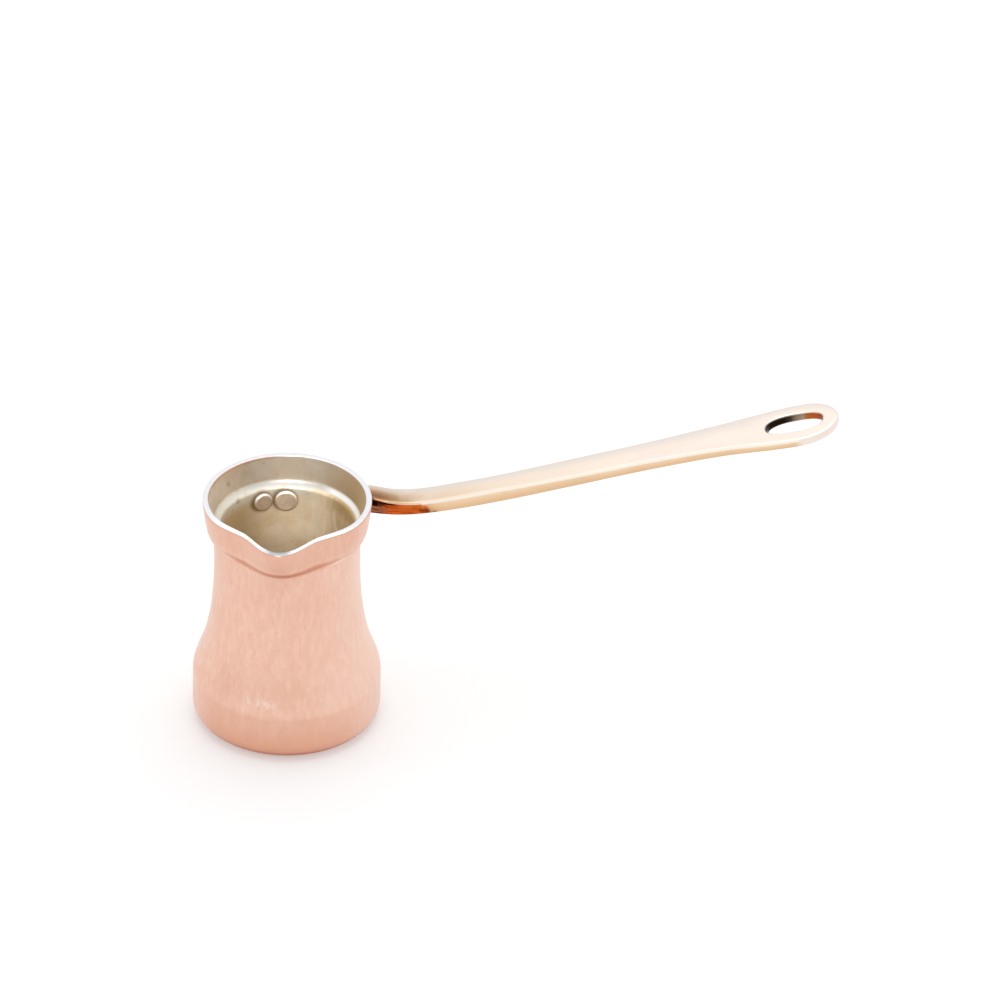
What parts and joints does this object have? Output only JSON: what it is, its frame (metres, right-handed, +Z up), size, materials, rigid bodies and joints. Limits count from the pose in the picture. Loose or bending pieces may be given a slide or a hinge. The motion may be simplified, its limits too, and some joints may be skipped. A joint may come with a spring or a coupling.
{
  "type": "cezve",
  "caption": "Small raised copper coffee pot with a pinched pouring lip, a tin lining and a long cast handle riveted to the back of its neck, ending in a hanging hole.",
  "frame": {"origin": "on the pot's upright axis, in the plane of its flat base", "axes": "+X from the pot along the handle, +Z up out of the mouth, the pouring lip faces -Y"},
  "size_m": [0.2019, 0.0677, 0.1095],
  "materials": {
    "copper": "hand-hammered copper, wiped to a soft shine",
    "tin": "hand-wiped tin, dull, yellower below the collar",
    "cast_bronze": "cast copper alloy, filed and softly polished",
    "rivet": "hammered rivet heads, tinned inside the pot"
  },
  "bodies": {
    "root": {"body": "copper", "tin_lining": "tin", "handle": "cast_bronze", "rivet_1": "rivet", "rivet_2": "rivet"}
  },
  "joints": []
}
